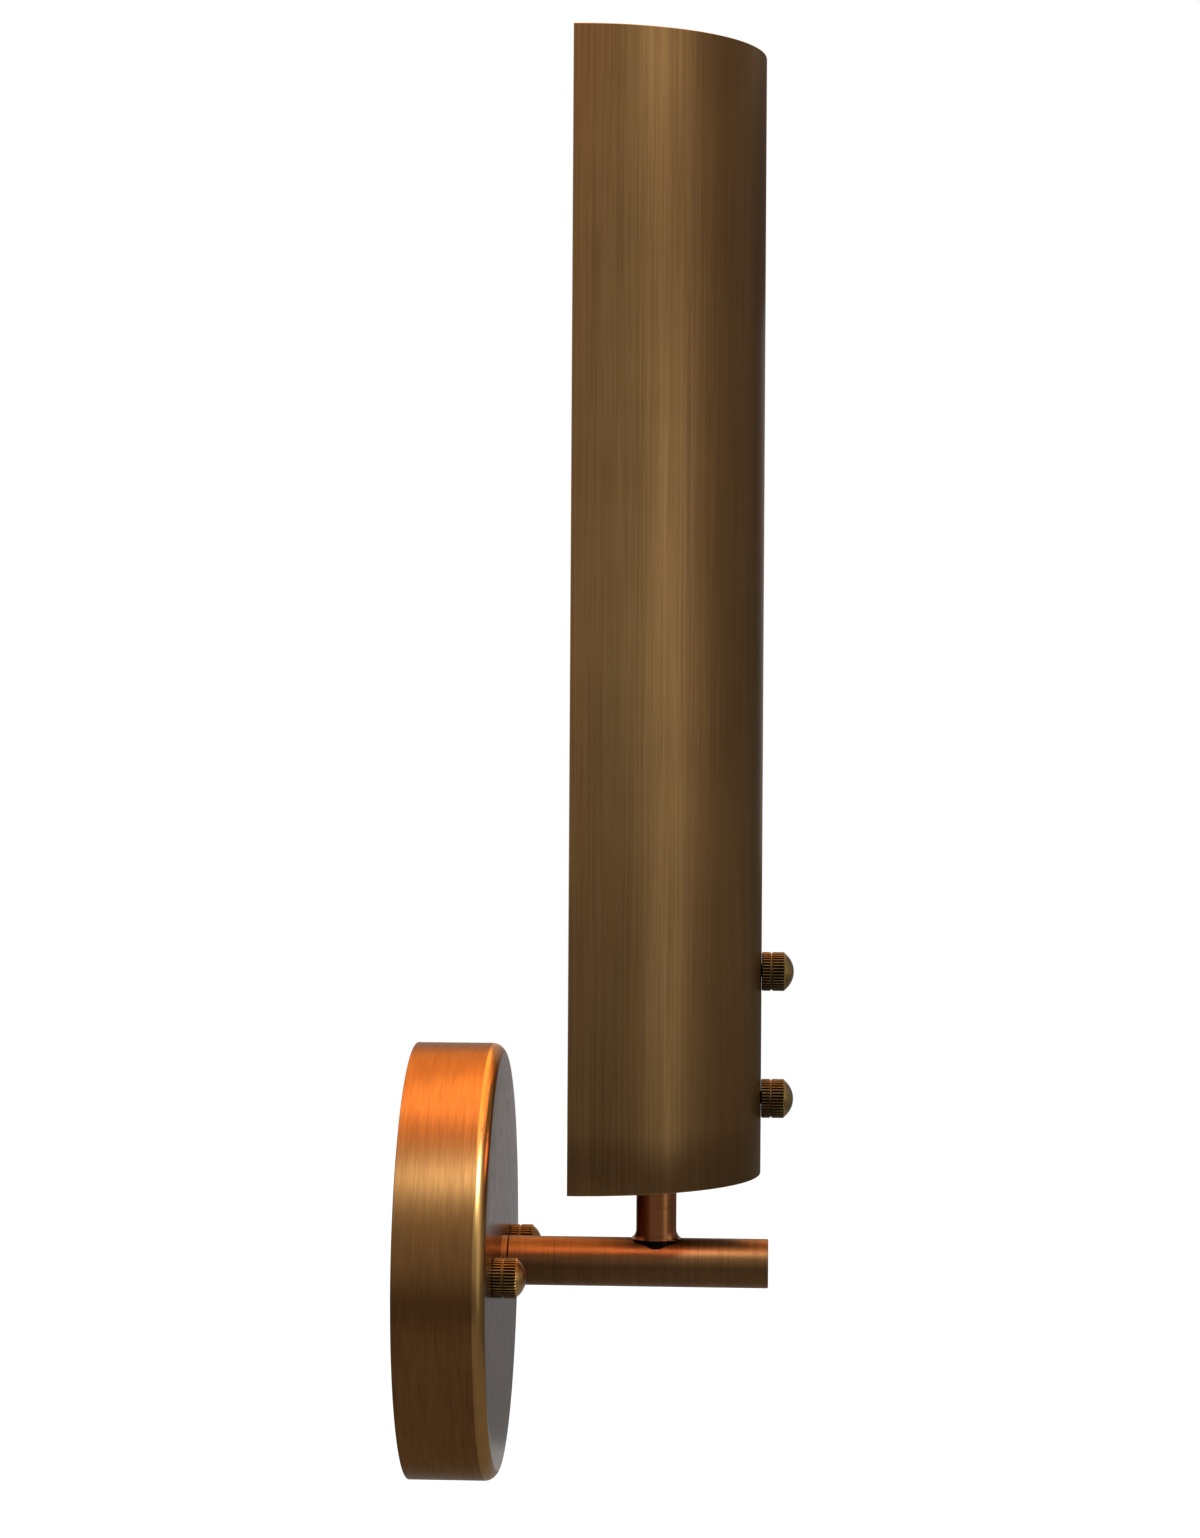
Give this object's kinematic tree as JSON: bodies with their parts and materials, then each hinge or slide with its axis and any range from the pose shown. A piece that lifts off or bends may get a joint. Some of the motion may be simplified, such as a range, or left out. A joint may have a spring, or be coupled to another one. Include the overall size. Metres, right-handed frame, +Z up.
{
  "type": "wall sconce",
  "caption": "Wall light with a round canopy, a short horizontal arm and an upright half-tube brass shade, held by knurled knobs, with its lamp holder and lamp.",
  "frame": {"origin": "centre of the wall box's screw pattern, on the wall plane, level with the arm's centre line", "axes": "+Z up along the shade, -Y out from the wall, X along the wall"},
  "size_m": [0.1206, 0.1054, 0.3955],
  "materials": {
    "antique_brass_canopy": "antique brass, satin, brushed round its rim",
    "antique_brass_arm": "antique brass, satin, turned",
    "antique_brass_shade": "antique brass, satin, brushed along its length",
    "knob_brass": "antique brass, knurled, dark in the grooves",
    "yellow_brass": "plain machined brass",
    "dark_strap": "antique brass coloured steel",
    "zinc_steel": "zinc plated",
    "green_screw": "green dyed plating",
    "holder_ceramic": "glazed",
    "lead_black": "insulation",
    "lead_white": "insulation",
    "lead_green": "insulation",
    "nut_plastic": "moulded",
    "lamp_glass": "clear, faintly amber",
    "clear_glass": "clear",
    "cap_brass": "rolled thread",
    "black_glass": "black glass insulator",
    "solder": "solder contact",
    "wire_nickel": "nickel wire",
    "filament": "lit filament"
  },
  "bodies": {
    "wall_bracket": {"box_bar": "zinc_steel", "bar_eyelet": "zinc_steel"},
    "swivel_bar": {"stud_bar": "zinc_steel", "canopy_studs": "yellow_brass", "stud_nuts": "zinc_steel", "ground_screw": "green_screw"},
    "fixture": {"canopy": "antique_brass_canopy", "arm_nipple": "yellow_brass", "nipple_nut": "yellow_brass", "nipple_washer": "zinc_steel", "ground_lug": "zinc_steel", "arm_collar": "antique_brass_arm", "arm_tube": "antique_brass_arm", "arm_end_plug": "antique_brass_arm", "stem_tube": "antique_brass_arm", "shade_bracket": "dark_strap", "shade_screws": "yellow_brass", "holder_nipple": "yellow_brass", "holder_nut": "yellow_brass", "holder_cup": "antique_brass_shade", "holder_body": "holder_ceramic", "screw_shell": "cap_brass", "centre_contact": "cap_brass", "terminals": "cap_brass", "lead_hot": "lead_black", "lead_neutral": "lead_white", "lead_ground": "lead_green", "wire_nuts": "nut_plastic"},
    "shade": {"shade": "antique_brass_shade"},
    "shade_knob_upper": {"shade_knob_upper": "knob_brass"},
    "shade_knob_lower": {"shade_knob_lower": "knob_brass"},
    "canopy_knob_left": {"canopy_knob_left": "knob_brass"},
    "canopy_knob_right": {"canopy_knob_right": "knob_brass"},
    "lamp": {"lamp_glass": "lamp_glass", "lamp_cap": "cap_brass", "lamp_insulator": "black_glass", "lamp_contact": "solder", "lamp_stem": "clear_glass", "lamp_wires": "wire_nickel", "lamp_filaments": "filament"}
  },
  "joints": [
    {"name": "bar_swivel", "type": "hinge", "parent": "wall_bracket", "child": "swivel_bar", "pos_m": [0, -0.0024, 0], "axis": [0, 1, 0], "range_deg": [-15, 15]},
    {"name": "fixture_off", "type": "slide", "parent": "swivel_bar", "child": "fixture", "axis": [0, -1, 0], "range_m": [0, 0.03]},
    {"name": "shade_off", "type": "slide", "parent": "fixture", "child": "shade", "axis": [0, -1, 0], "range_m": [0, 0.03]},
    {"name": "shade_knob_upper_turn", "type": "hinge", "parent": "shade", "child": "shade_knob_upper", "pos_m": [0, -0.0966, 0.0813], "axis": [0, 1, 0], "continuous": true},
    {"name": "shade_knob_lower_turn", "type": "hinge", "parent": "shade", "child": "shade_knob_lower", "pos_m": [0, -0.0966, 0.046], "axis": [0, 1, 0], "continuous": true},
    {"name": "canopy_knob_left_turn", "type": "hinge", "parent": "fixture", "child": "canopy_knob_left", "pos_m": [-0.0305, -0.0247, 0], "axis": [0, 1, 0], "continuous": true},
    {"name": "canopy_knob_right_turn", "type": "hinge", "parent": "fixture", "child": "canopy_knob_right", "pos_m": [0.0305, -0.0247, 0], "axis": [0, 1, 0], "continuous": true},
    {"name": "lamp_turn", "type": "hinge", "parent": "fixture", "child": "lamp", "pos_m": [0, -0.0676, 0.06], "axis": [0, 0, 1], "continuous": true}
  ]
}
